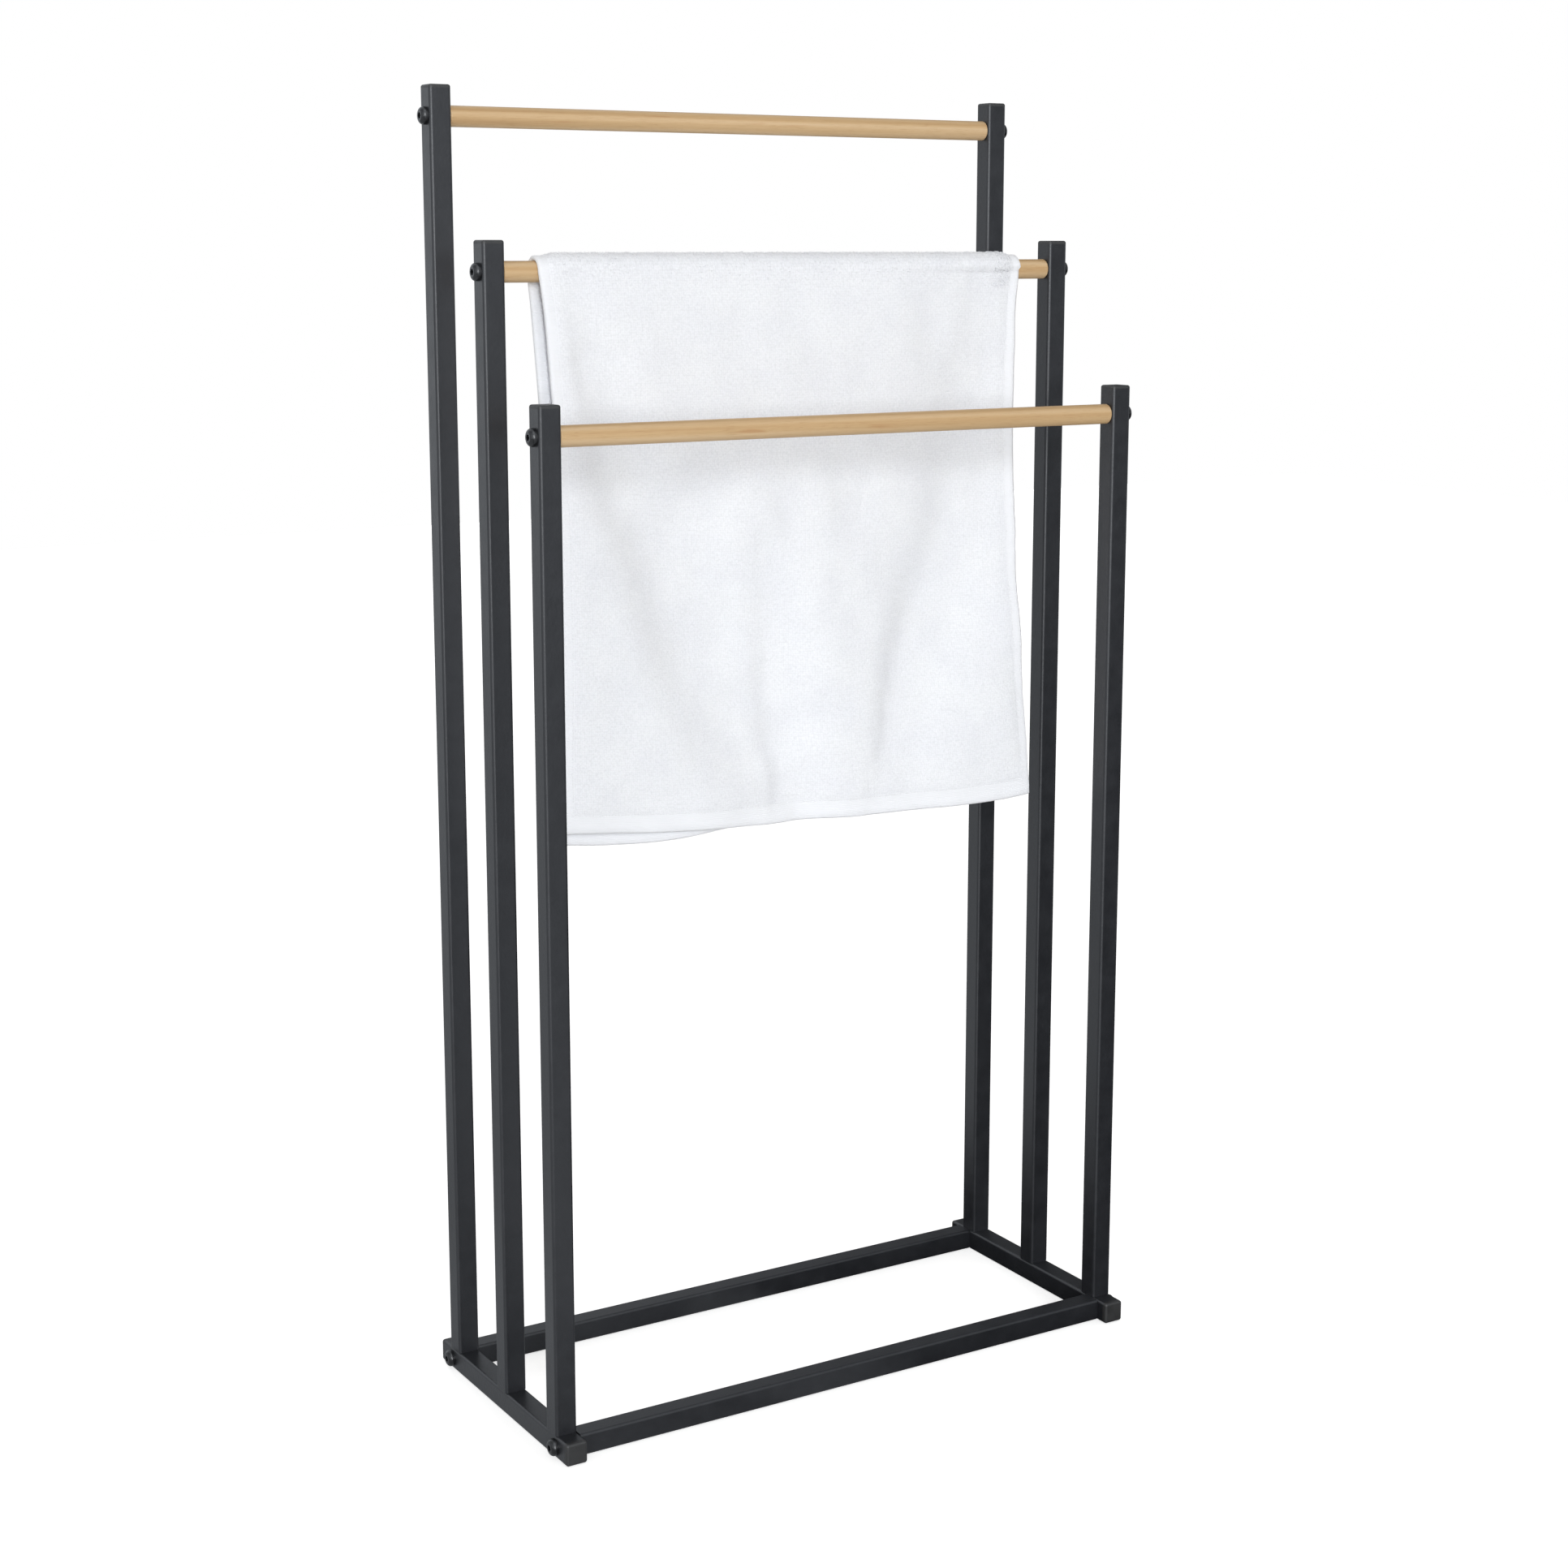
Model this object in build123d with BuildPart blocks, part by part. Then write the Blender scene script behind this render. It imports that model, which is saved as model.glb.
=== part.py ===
from build123d import *
import os

# Free-standing towel rack: two welded side frames of square steel tube, joined by two
# bolted floor rails and three wooden bars that rise from front to back, with one bath
# towel hung over the middle bar.
#
# Frame: origin on the floor under the middle of the rack, +X to the right along the
# bars, +Y to the back, +Z up. All sizes are in millimetres.

os.makedirs("parts", exist_ok=True)

# ------------------------------------------------------------------ driving dimensions
# square steel tube
tube_side = 20.0
tube_wall = 1.2
tube_corner = 2.5
bore_corner = 1.0

# the rack
overall_width = 600.0
base_tube_length = 250.0
post_inset = 25.0
rail_inset = 18.0
front_post_height = 900.0
tier_rise = 130.0

# wooden bars
bar_diameter = 18.0
bar_drop = 26.0
bar_end_rounding = 1.2

# plastic plugs in the tube ends
post_flange = 3.0
post_flange_rounding = 2.2
foot_flange = 5.0
foot_flange_rounding = 2.4
skirt_length = 14.0
skirt_wall = 1.5
fin_depth = 0.9
fin_thickness = 1.2
fin_pitch = 3.6
fin_count = 3
plug_fit = 0.1

# bolts with a domed head and a hexagon socket
bolt_diameter = 6.0
bolt_tip_chamfer = 0.8
bolt_hole_fit = 0.25
head_diameter = 15.2
head_height = 5.6
head_rim = 1.8
head_crown_diameter = 7.6
socket_width = 5.0
socket_depth = 3.2
bar_bolt_grip = 20.0
rail_bolt_grip = 12.0

# threaded steel pieces that the bolts screw into
thread_fit = 0.1
insert_diameter = 10.0
insert_length = 18.0
insert_recess = 0.3
insert_nose_chamfer = 1.0
insert_fit = 0.1
pilot_reserve = 3.0
nut_block_length = 15.0
nut_block_fit = 0.1

# towel over the middle bar
towel_side_room = 33.0
towel_thickness = 6.0
towel_bar_gap = 0.3
towel_front_end = 512.0
towel_back_end = 506.0
towel_end_gap = 2.0
towel_shift = -3.0
towel_lean = 14.0

# ------------------------------------------------------------------ places worked out
bore_side = tube_side - 2 * tube_wall
side_x = (overall_width - tube_side) / 2
inner_width = overall_width - 2 * tube_side
axis_height = tube_side / 2
bolt_hole_radius = bolt_diameter / 2 + bolt_hole_fit
thread_radius = bolt_diameter / 2 + thread_fit
towel_width = inner_width - 2 * towel_side_room

sides = {"left": -1, "right": 1}
rows = {"front": -1, "middle": 0, "back": 1}
rails = {"front": -1, "back": 1}

row_y = {row: step * (base_tube_length / 2 - post_inset) for row, step in rows.items()}
row_height = {row: front_post_height + (step + 1) * tier_rise for row, step in rows.items()}
bar_height = {row: row_height[row] - bar_drop for row in rows}
rail_y = {rail: step * (base_tube_length / 2 - rail_inset) for rail, step in rails.items()}


def outer_plane(side, y, z):
    """The plane on a side frame's outer face at (y, z), its normal pointing outwards."""
    return Plane(origin=(side * overall_width / 2, y, z), x_dir=(0, 1, 0), z_dir=(side, 0, 0))


def inner_plane(side, y, z):
    """The plane on a side frame's inner face at (y, z), its normal pointing outwards."""
    return Plane(origin=(side * inner_width / 2, y, z), x_dir=(0, 1, 0), z_dir=(side, 0, 0))


def save(piece, label):
    """Label a finished piece and write its STEP file."""
    piece.part.label = label
    export_step(piece.part, f"parts/{label}.step")


def tube_section():
    """Draw the hollow square section in the sketch that is open."""
    RectangleRounded(tube_side, tube_side, tube_corner)
    RectangleRounded(bore_side, bore_side, bore_corner, mode=Mode.SUBTRACT)


# ------------------------------------------------------------------ steel side frames
def base_tube(side):
    """A side frame's foot: a tube along Y, drilled across for the two rail bolts."""
    with BuildPart() as tube:
        with BuildSketch(Plane.XZ.offset(base_tube_length / 2)):
            with Locations((side * side_x, axis_height)):
                tube_section()
        extrude(amount=-base_tube_length)
        with BuildSketch(Plane.YZ.offset(side * side_x)):
            with Locations(*[(y, axis_height) for y in rail_y.values()]):
                Circle(bolt_hole_radius)
        extrude(amount=tube_side, both=True, mode=Mode.SUBTRACT)
    return tube


def post(side, row):
    """An upright that stands on the base tube, drilled across for its bar's bolt."""
    with BuildPart() as tube:
        with BuildSketch(Plane.XY.offset(tube_side)):
            with Locations((side * side_x, row_y[row])):
                tube_section()
        extrude(amount=row_height[row] - post_flange - tube_side)
        with BuildSketch(Plane.YZ.offset(side * side_x)):
            with Locations((row_y[row], bar_height[row])):
                Circle(bolt_hole_radius)
        extrude(amount=tube_side, both=True, mode=Mode.SUBTRACT)
    return tube


def tube_plug(tube_end, flange, flange_rounding):
    """A push-in plastic plug: a rounded flange on the tube's end and a finned skirt in its bore."""
    skirt_side = bore_side - 2 * plug_fit - 2 * fin_depth
    with BuildPart() as plug:
        with BuildSketch(tube_end):
            RectangleRounded(tube_side, tube_side, tube_corner)
        extrude(amount=flange)
        outer_face = plug.faces().sort_by(Axis(tube_end.origin, tube_end.z_dir))[-1]
        fillet(outer_face.edges(), flange_rounding)
        with BuildSketch(tube_end):
            RectangleRounded(skirt_side, skirt_side, bore_corner)
        extrude(amount=-skirt_length)
        for fin in range(fin_count):
            with BuildSketch(tube_end.offset(-(fin + 1) * fin_pitch)):
                RectangleRounded(bore_side - 2 * plug_fit, bore_side - 2 * plug_fit, bore_corner)
            extrude(amount=fin_thickness)
        with BuildSketch(tube_end):
            Rectangle(skirt_side - 2 * skirt_wall, skirt_side - 2 * skirt_wall)
        extrude(amount=-skirt_length, mode=Mode.SUBTRACT)
    return plug


for side_name, side in sides.items():
    save(base_tube(side), f"{side_name}_base_tube")
    for row in rows:
        save(post(side, row), f"{side_name}_{row}_post")
        post_end = Plane(origin=(side * side_x, row_y[row], row_height[row] - post_flange))
        post_cap = tube_plug(post_end, post_flange, post_flange_rounding)
        save(post_cap, f"{side_name}_{row}_post_cap")
    for end_name, end in rails.items():
        foot_end = Plane(
            origin=(side * side_x, end * base_tube_length / 2, axis_height),
            x_dir=(1, 0, 0),
            z_dir=(0, end, 0),
        )
        foot_cap = tube_plug(foot_end, foot_flange, foot_flange_rounding)
        save(foot_cap, f"{side_name}_{end_name}_foot_cap")


# ------------------------------------------------------------------ floor rails
def rail_tube(rail):
    """A floor rail that runs between the inner faces of the two base tubes."""
    with BuildPart() as tube:
        with BuildSketch(Plane.YZ.offset(-inner_width / 2)):
            with Locations((rail_y[rail], axis_height)):
                tube_section()
        extrude(amount=inner_width)
    return tube


def nut_block(rail_end):
    """A tapped steel block, fixed in a rail's end, that the rail bolt screws into."""
    block_side = bore_side - 2 * nut_block_fit
    with BuildPart() as block:
        with BuildSketch(rail_end):
            RectangleRounded(block_side, block_side, bore_corner)
            Circle(thread_radius, mode=Mode.SUBTRACT)
        extrude(amount=-nut_block_length)
    return block


for rail in rails:
    save(rail_tube(rail), f"{rail}_rail")
    for side_name, side in sides.items():
        rail_end = inner_plane(side, rail_y[rail], axis_height)
        save(nut_block(rail_end), f"{rail}_rail_{side_name}_nut")


# ------------------------------------------------------------------ wooden bars
def wooden_bar(row):
    """A round bar with rounded end edges, counterbored in both ends for its inserts."""
    insert_seat_depth = insert_recess + insert_length
    with BuildPart() as bar:
        with BuildSketch(Plane.YZ.offset(-inner_width / 2)):
            with Locations((row_y[row], bar_height[row])):
                Circle(bar_diameter / 2)
        extrude(amount=inner_width)
        fillet(bar.edges().filter_by(GeomType.CIRCLE), bar_end_rounding)
        for side in sides.values():
            with Locations(inner_plane(side, row_y[row], bar_height[row])):
                CounterBoreHole(
                    radius=bolt_hole_radius,
                    counter_bore_radius=insert_diameter / 2 + insert_fit,
                    counter_bore_depth=insert_seat_depth,
                    depth=max(insert_seat_depth, bar_bolt_grip) + pilot_reserve,
                )
    return bar


def threaded_insert(bar_end):
    """A tapped sleeve in a bar's end, its inner nose chamfered to start in the wood."""
    with BuildPart() as insert:
        with BuildSketch(bar_end.offset(-insert_recess)):
            Circle(insert_diameter / 2)
            Circle(thread_radius, mode=Mode.SUBTRACT)
        extrude(amount=-insert_length)
        nose = insert.faces().sort_by(Axis(bar_end.origin, bar_end.z_dir))[0]
        chamfer(nose.edges().sort_by(SortBy.RADIUS)[-1], insert_nose_chamfer)
    return insert


for row in rows:
    save(wooden_bar(row), f"{row}_bar")
    for side_name, side in sides.items():
        bar_end = inner_plane(side, row_y[row], bar_height[row])
        save(threaded_insert(bar_end), f"{row}_bar_{side_name}_insert")


# ------------------------------------------------------------------ bolts
def dome_bolt(seat, grip):
    """A bolt whose head sits on `seat`; it passes one tube and reaches `grip` beyond it."""
    shank_radius = bolt_diameter / 2
    shank_length = tube_side + grip
    head_radius = head_diameter / 2
    section_plane = Plane(origin=seat.origin, x_dir=seat.x_dir, z_dir=seat.x_dir.cross(seat.z_dir))
    with BuildPart() as bolt:
        with BuildSketch(section_plane):
            with BuildLine():
                shank = Polyline(
                    (0, head_height),
                    (0, -shank_length),
                    (shank_radius - bolt_tip_chamfer, -shank_length),
                    (shank_radius, bolt_tip_chamfer - shank_length),
                    (shank_radius, 0),
                    (head_radius, 0),
                    (head_radius, head_rim),
                )
                crown = Line((head_crown_diameter / 2, head_height), shank @ 0)
                TangentArc(shank @ 1, crown @ 0, tangent=(0, 1))
            make_face()
        revolve(axis=Axis(seat.origin, seat.z_dir))
        with BuildSketch(seat.offset(head_height)):
            RegularPolygon(socket_width / 2, 6, major_radius=False)
        extrude(amount=-socket_depth, mode=Mode.SUBTRACT)
    return bolt


for side_name, side in sides.items():
    for row in rows:
        bar_bolt = dome_bolt(outer_plane(side, row_y[row], bar_height[row]), bar_bolt_grip)
        save(bar_bolt, f"{row}_bar_{side_name}_bolt")
    for rail in rails:
        rail_bolt = dome_bolt(outer_plane(side, rail_y[rail], axis_height), rail_bolt_grip)
        save(rail_bolt, f"{rail}_rail_{side_name}_bolt")

# ------------------------------------------------------------------ towel
# A closed solid of the towel's own thickness: over the bar, then down both sides of it,
# with the two panels drawing together towards their ends and hanging a little askew.
towel_bar_y = row_y["middle"]
towel_bar_z = bar_height["middle"]
inside_radius = bar_diameter / 2 + towel_bar_gap
outside_radius = inside_radius + towel_thickness
inside_end = towel_end_gap / 2
outside_end = inside_end + towel_thickness
towel_top = towel_bar_z + outside_radius
towel_bottom = min(towel_front_end, towel_back_end)

with BuildPart() as towel:
    with BuildSketch(Plane.YZ):
        with BuildLine():
            over = ThreePointArc(
                (towel_bar_y - outside_radius, towel_bar_z),
                (towel_bar_y, towel_top),
                (towel_bar_y + outside_radius, towel_bar_z),
            )
            under = ThreePointArc(
                (towel_bar_y + inside_radius, towel_bar_z),
                (towel_bar_y, towel_bar_z + inside_radius),
                (towel_bar_y - inside_radius, towel_bar_z),
            )
            Polyline(
                over @ 1,
                (towel_bar_y + outside_end, towel_back_end),
                (towel_bar_y + inside_end, towel_back_end),
                under @ 0,
            )
            Polyline(
                under @ 1,
                (towel_bar_y - inside_end, towel_front_end),
                (towel_bar_y - outside_end, towel_front_end),
                over @ 0,
            )
        make_face()
    extrude(amount=towel_width, both=True)
    with BuildSketch(Plane.XZ.offset(-towel_bar_y)):
        with BuildLine():
            Polyline(
                (towel_shift - towel_width / 2, towel_top),
                (towel_shift + towel_width / 2, towel_top),
                (towel_shift + towel_width / 2 + towel_lean, towel_bottom),
                (towel_shift - towel_width / 2 + towel_lean, towel_bottom),
                close=True,
            )
        make_face()
    extrude(amount=2 * outside_radius, both=True, mode=Mode.INTERSECT)
save(towel, "draped_towel")
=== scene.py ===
from math import cos, pi, radians, sin

import bmesh
import bpy
import numpy as np
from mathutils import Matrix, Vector


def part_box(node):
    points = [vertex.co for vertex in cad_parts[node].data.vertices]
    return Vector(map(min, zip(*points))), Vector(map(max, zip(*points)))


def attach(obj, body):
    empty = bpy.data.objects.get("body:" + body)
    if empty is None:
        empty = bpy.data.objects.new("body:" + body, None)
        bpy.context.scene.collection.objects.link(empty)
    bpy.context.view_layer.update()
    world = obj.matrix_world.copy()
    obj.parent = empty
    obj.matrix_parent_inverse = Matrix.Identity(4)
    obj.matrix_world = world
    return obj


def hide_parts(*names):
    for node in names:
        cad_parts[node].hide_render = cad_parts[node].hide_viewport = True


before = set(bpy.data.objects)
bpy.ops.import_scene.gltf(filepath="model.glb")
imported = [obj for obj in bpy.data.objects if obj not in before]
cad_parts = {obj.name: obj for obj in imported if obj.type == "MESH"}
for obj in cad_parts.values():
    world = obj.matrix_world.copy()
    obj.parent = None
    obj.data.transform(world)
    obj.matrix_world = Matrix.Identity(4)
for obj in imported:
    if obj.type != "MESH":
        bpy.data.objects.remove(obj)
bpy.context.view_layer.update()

# Towel rack: the steel, wood and plastic pieces are the frame's own and get their finishes
# here. The terry towel over the middle bar is made here as a sheet with two faces, with its
# folds, hems, seams and loops. Metres, in the frame's axes.

# ------------------------------------------------------------------ stage and camera
SENSOR_WIDTH = 36.0
LENS = 59.80
LENS_SHIFT = -0.038
CAMERA_PLACE = (-1.2179, -1.9949, 1.0244)
CAMERA_TURN = 31.31      # degrees about Z, from straight ahead (+Y)
CAMERA_TILT = -10.39     # degrees, below level
NEAREST_SEEN = 0.05

# Tall soft panels, aimed at the rack's middle from one distance, with turns and the rise in
# degrees. The key throws the front bar's shadow on the towel, the side one shows its folds,
# and the rear one lights the rack's back without showing in the gloss.
PANEL_AIM = Vector((0, 0, 0.6))
PANEL_DISTANCE = 16.0
PANEL_HEIGHT = 9.2
PANEL_RISE = 12.0
PANEL_COLOUR = (0.955, 0.980, 1.0)
PANELS = {
    "key_panel": {"turn": -22.4, "width": 2.4, "power": 1445.0},
    "side_panel": {"turn": -41.0, "width": 7.2, "power": 248.0},
    "rear_panel": {"turn": 171.0, "width": 3.4, "power": 1400.0, "glossy": False},
}

SKY_LEVEL = 0.47
SKY_COLOUR = (1.0, 0.988, 0.965)

FLOOR_SIDE = 14.0
FLOOR_DROP = 0.0002
FLOOR_GREY = 0.84
FLOOR_LIFT = 0.60

# What glossy surfaces see of the studio: (x of the direction, brightness). On the floor it is a
# painted reflection.
GLOSS_COLOUR = (0.90, 0.945, 1.0)
GLOSS_AHEAD = 2.3        # how much brighter the sky is in front of the rack than beside it
FLOOR_GLOSS = [(-1.0, 1.15), (-0.60, 0.58), (-0.40, 1.36), (0.24, 1.0), (0.42, 0.44),
               (0.55, 0.05), (1.0, 0.06)]
SKY_GLOSS = FLOOR_GLOSS[:-1] + [(0.66, 0.06), (0.80, 0.35), (1.0, 0.85)]

WHITE = (1, 1, 1, 1)


def new_material(name):
    """A material with an empty node tree, and its tree."""
    material = bpy.data.materials.new(name)
    material.use_nodes = True
    material.node_tree.nodes.clear()
    return material, material.node_tree


def add(tree, kind, settings=None, **inputs):
    """Add a node with its settings and its inputs. A socket as a value is linked.

    In an input's name a double underscore is a space, and _2 is the input of number 2.
    """
    node = tree.nodes.new(kind)
    for key, value in (settings or {}).items():
        setattr(node, key, value)
    for key, value in inputs.items():
        socket = node.inputs[int(key[1:]) if key[0] == "_" else key.replace("__", " ")]
        if isinstance(value, bpy.types.NodeSocket):
            tree.links.new(value, socket)
        else:
            socket.default_value = value
    return node


def map_range(tree, value, low, high, new_low, new_high, smooth=False):
    node = add(tree, "ShaderNodeMapRange", Value=value)
    if smooth:
        node.interpolation_type = "SMOOTHSTEP"
    for name, number in zip(("From Min", "From Max", "To Min", "To Max"),
                            (low, high, new_low, new_high)):
        node.inputs[name].default_value = number
    return node.outputs[0]


def maths(tree, operation, first, second=0.0):
    node = add(tree, "ShaderNodeMath", {"operation": operation}, _0=first, _1=second)
    return node.outputs[0]


def blend(tree, first, first_share, second, second_share):
    """The sum of two values, each times its share."""
    return maths(tree, "ADD", maths(tree, "MULTIPLY", first, first_share),
                 maths(tree, "MULTIPLY", second, second_share))


def mix_colours(tree, share, first, second, blend_type="MIX"):
    node = add(tree, "ShaderNodeMix", {"data_type": "RGBA", "blend_type": blend_type},
               _0=share, _6=first, _7=second)
    return node.outputs[2]


def ramp(tree, value, stops):
    """A colour ramp through (position, colour) stops."""
    node = add(tree, "ShaderNodeValToRGB", Fac=value)
    elements = node.color_ramp.elements
    while len(elements) < len(stops):
        elements.new(0.5)
    for element, (position, colour) in zip(elements, stops):
        element.position = position
        element.color = (*colour, 1)
    return node.outputs["Color"]


def gloss_level(tree, way, stops):
    """How bright the studio is in the gloss, by how far to the left or right it is seen."""
    straight = add(tree, "ShaderNodeVectorMath", {"operation": "NORMALIZE"}, _0=way)
    split = add(tree, "ShaderNodeSeparateXYZ", Vector=straight.outputs[0])
    share = map_range(tree, split.outputs[0], -1.0, 1.0, 0.0, 1.0)
    return ramp(tree, share, [((aside + 1) / 2, (bright,) * 3) for aside, bright in stops])


def seen_directly(tree, path):
    """1 for what the camera sees, also through clear things, and 0 for light and gloss."""
    return maths(tree, "MAXIMUM", path.outputs["Is Camera Ray"],
                 path.outputs["Is Transmission Ray"])


def floor_paper():
    """White paper to look at, grey to the light, and a glowing graded field in the gloss: a
    painted reflection of the studio.
    """
    material, tree = new_material("floor_paper")
    path = add(tree, "ShaderNodeLightPath")
    place = add(tree, "ShaderNodeTexCoord").outputs["Object"]
    lift = maths(tree, "MULTIPLY", seen_directly(tree, path), FLOOR_LIFT)
    paper = add(tree, "ShaderNodeBsdfDiffuse", Color=(FLOOR_GREY, FLOOR_GREY, FLOOR_GREY, 1))
    glow = add(tree, "ShaderNodeEmission", Color=WHITE, Strength=lift)
    plain = add(tree, "ShaderNodeAddShader", _0=paper.outputs[0], _1=glow.outputs[0])

    away = add(tree, "ShaderNodeVectorMath", {"operation": "LENGTH"}, _0=place)
    split = add(tree, "ShaderNodeSeparateXYZ", Vector=place)
    # In the gloss the paper glows as a painted reflection: darker under the rack as painted
    # shade, and brighter a few metres in front of it.
    near = map_range(tree, away.outputs["Value"], 0.22, 0.50, 0.50, 1.0, True)
    ahead = map_range(tree, split.outputs[1], -4.0, -0.4, 1.0, 0.72)
    level = maths(tree, "MULTIPLY", gloss_level(tree, place, FLOOR_GLOSS),
                  maths(tree, "MULTIPLY", near, ahead))
    # Glossy rays only: painted reflection on a floor that is no lamp.
    shine = add(tree, "ShaderNodeEmission", Color=(*GLOSS_COLOUR, 1), Strength=level)
    both = add(tree, "ShaderNodeMixShader", _0=path.outputs["Is Glossy Ray"],
               _1=plain.outputs[0], _2=shine.outputs[0])
    add(tree, "ShaderNodeOutputMaterial", Surface=both.outputs[0])
    return material


def make_floor():
    """The pale floor: it takes the rack's shadow and looks white where nothing shades it."""
    half = FLOOR_SIDE / 2
    mesh = bpy.data.meshes.new("pale_floor")
    corners = [(-half, -half), (half, -half), (half, half), (-half, half)]
    mesh.from_pydata([(x, y, -FLOOR_DROP) for x, y in corners], [], [(0, 1, 2, 3)])
    mesh.materials.append(floor_paper())
    floor = bpy.data.objects.new("pale_floor", mesh)
    bpy.context.scene.collection.objects.link(floor)


def make_sky():
    """Even studio light from all round, white to look at."""
    world = bpy.data.worlds.new("studio")
    bpy.context.scene.world = world
    world.use_nodes = True
    tree = world.node_tree
    tree.nodes.clear()
    path = add(tree, "ShaderNodeLightPath")
    seen = seen_directly(tree, path)
    in_gloss = path.outputs["Is Glossy Ray"]
    way = add(tree, "ShaderNodeTexCoord").outputs["Generated"]
    split = add(tree, "ShaderNodeSeparateXYZ", Vector=way)
    ahead = map_range(tree, split.outputs[1], -0.35, 0.0, GLOSS_AHEAD, 1.0)
    gloss = maths(tree, "MULTIPLY", gloss_level(tree, way, SKY_GLOSS), ahead)
    lit = add(tree, "ShaderNodeMix", _0=in_gloss, _2=SKY_LEVEL, _3=gloss)
    level = add(tree, "ShaderNodeMix", _0=seen, _2=lit.outputs[0], _3=1.0)
    lit_tint = mix_colours(tree, in_gloss, (*SKY_COLOUR, 1), (*GLOSS_COLOUR, 1))
    tint = mix_colours(tree, seen, lit_tint, WHITE)
    sky = add(tree, "ShaderNodeBackground", Color=tint, Strength=level.outputs[0])
    add(tree, "ShaderNodeOutputWorld", Surface=sky.outputs[0])


def make_panel(name, turn, width, power, glossy=True):
    """One tall soft panel, turned about Z from straight in front (-Y)."""
    turn, rise = radians(turn), radians(PANEL_RISE)
    towards = Vector((sin(turn) * cos(rise), -cos(turn) * cos(rise), sin(rise)))
    panel = bpy.data.lights.new(name, "AREA")
    panel.shape = "RECTANGLE"
    panel.size, panel.size_y = width, PANEL_HEIGHT
    panel.energy = power
    panel.color = PANEL_COLOUR
    lamp = bpy.data.objects.new(name, panel)
    bpy.context.scene.collection.objects.link(lamp)
    lamp.location = PANEL_AIM + PANEL_DISTANCE * towards
    lamp.visible_glossy = glossy
    lamp.rotation_mode = "QUATERNION"
    lamp.rotation_quaternion = towards.to_track_quat("Z", "Y")


def make_camera():
    data = bpy.data.cameras.new("front_left_view")
    data.lens = LENS
    data.sensor_width = SENSOR_WIDTH
    data.shift_y = LENS_SHIFT
    data.clip_start = NEAREST_SEEN
    camera = bpy.data.objects.new("front_left_view", data)
    bpy.context.scene.collection.objects.link(camera)
    camera.location = CAMERA_PLACE
    camera.rotation_euler = (radians(90 + CAMERA_TILT), 0, -radians(CAMERA_TURN))
    bpy.context.scene.camera = camera


bpy.context.scene.view_settings.view_transform = "Standard"
make_floor()
make_sky()
for panel_name, panel_values in PANELS.items():
    make_panel(panel_name, **panel_values)
make_camera()


# ------------------------------------------------------------------ the towel's sizes
# The towel when flat, its two drops from the bar's middle, and its flat borders: selvedges
# along the sides and hems along the ends.
TOWEL_WIDTH = 0.494
TOWEL_LENGTH = 1.030
FRONT_DROP = 0.497
BACK_DROP = 0.498
SELVEDGE = 0.0085
HEM = 0.0165

PILE_THICKNESS = 0.0064
HEM_THICKNESS = 0.0036
SELVEDGE_THICKNESS = 0.0042
NAP_HEIGHT = 0.00022     # how uneven the pile's faces are
NAP_WAVE = 0.011
RIM_ROUND = 0.85         # how far the rim stands out, as a share of half the thickness

# The step from a flat border up to the pile: how far before the border's inner line it
# begins, and how wide it is.
SELVEDGE_STEP = (0.0020, 0.0105)
HEM_STEP = (0.0010, 0.0060)

BAR_GAP = 0.0003
HEM_HANG = 0.0036        # how far a panel is from the bar's middle plane at the full drop
bar_low, bar_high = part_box("middle_bar")
BAR_Y = (bar_low.y + bar_high.y) / 2
BAR_Z = (bar_low.z + bar_high.z) / 2
BAR_RADIUS = (bar_high.z - bar_low.z) / 2

# The grid: its cells on the pile, its lines on a border as shares of the border's width, and
# how far beside the border's inner line the next lines are.
CELL = 0.004
BORDER_LINES = (0.0, 0.35, 0.70)
BESIDE_STEP = 0.0008
OVER_ROWS = 14

# The sheet's outline. An edge's places are shares: down the drop, or from left to right.
LEFT_EDGE = -0.2490      # x at the bar
LEFT_EDGE_IN = 0.0195    # how far it has come in at the hem
BACK_EDGE_OUT = 0.0062   # how far the back panel's left edge bows out in its upper half
RIGHT_EDGE = [(0.0, 0.2445), (0.15, 0.2415), (0.3, 0.2390), (0.6, 0.2398), (0.8, 0.2490),
              (0.9, 0.2545), (1.0, 0.2608)]
FRONT_HEM = [(0.0, 0.5220), (0.067, 0.5195), (0.163, 0.5146), (0.245, 0.5112), (0.339, 0.5088),
             (0.43, 0.5058), (0.65, 0.5036), (0.85, 0.5036), (0.95, 0.5050), (1.0, 0.5084)]
BACK_HEM = [(0.0, 0.5105), (0.067, 0.5062), (0.163, 0.5034), (0.25, 0.5032), (0.35, 0.5070),
            (0.5, 0.5095), (1.0, 0.5110)]
EASE = 0.03              # how far to each side the bends in these lists are smoothed

# The hang: how far the front panel bellies out halfway down, how far the right side of each
# panel swings to the front, and how the side edges curl. A curl is its depth, its width, where
# it begins and over how much of the drop it grows.
FRONT_BELLY = 0.0040
FRONT_SWING = 0.0150
BACK_SWING = 0.0110
SWING_FROM = 0.06        # x where the swing begins
SWING_GROWTH = 0.19      # over how much of the width it grows
FRONT_LEFT_CURL = (0.0028, 0.020, 0.0, 0.35)
FRONT_RIGHT_CURL = (0.0016, 0.022, 0.3, 0.4)
BACK_RIGHT_CURL = (0.0025, 0.030, 0.3, 0.4)

# The back panel's own hang and its ripples as (height, drift to the left on the way down,
# length, phase). Its left side lies close to the front panel in the upper half of the drop and
# stands off below.
BACK_BELLY = 0.0022
BACK_RIPPLES = [(0.0014, 0.05, 0.17, 0.6), (0.0008, -0.03, 0.10, 2.1)]
BACK_LEFT_CLOSE = 0.0085
BACK_LEFT_OFF = 0.0050
BACK_LEFT_WIDTH = 0.050

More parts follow.
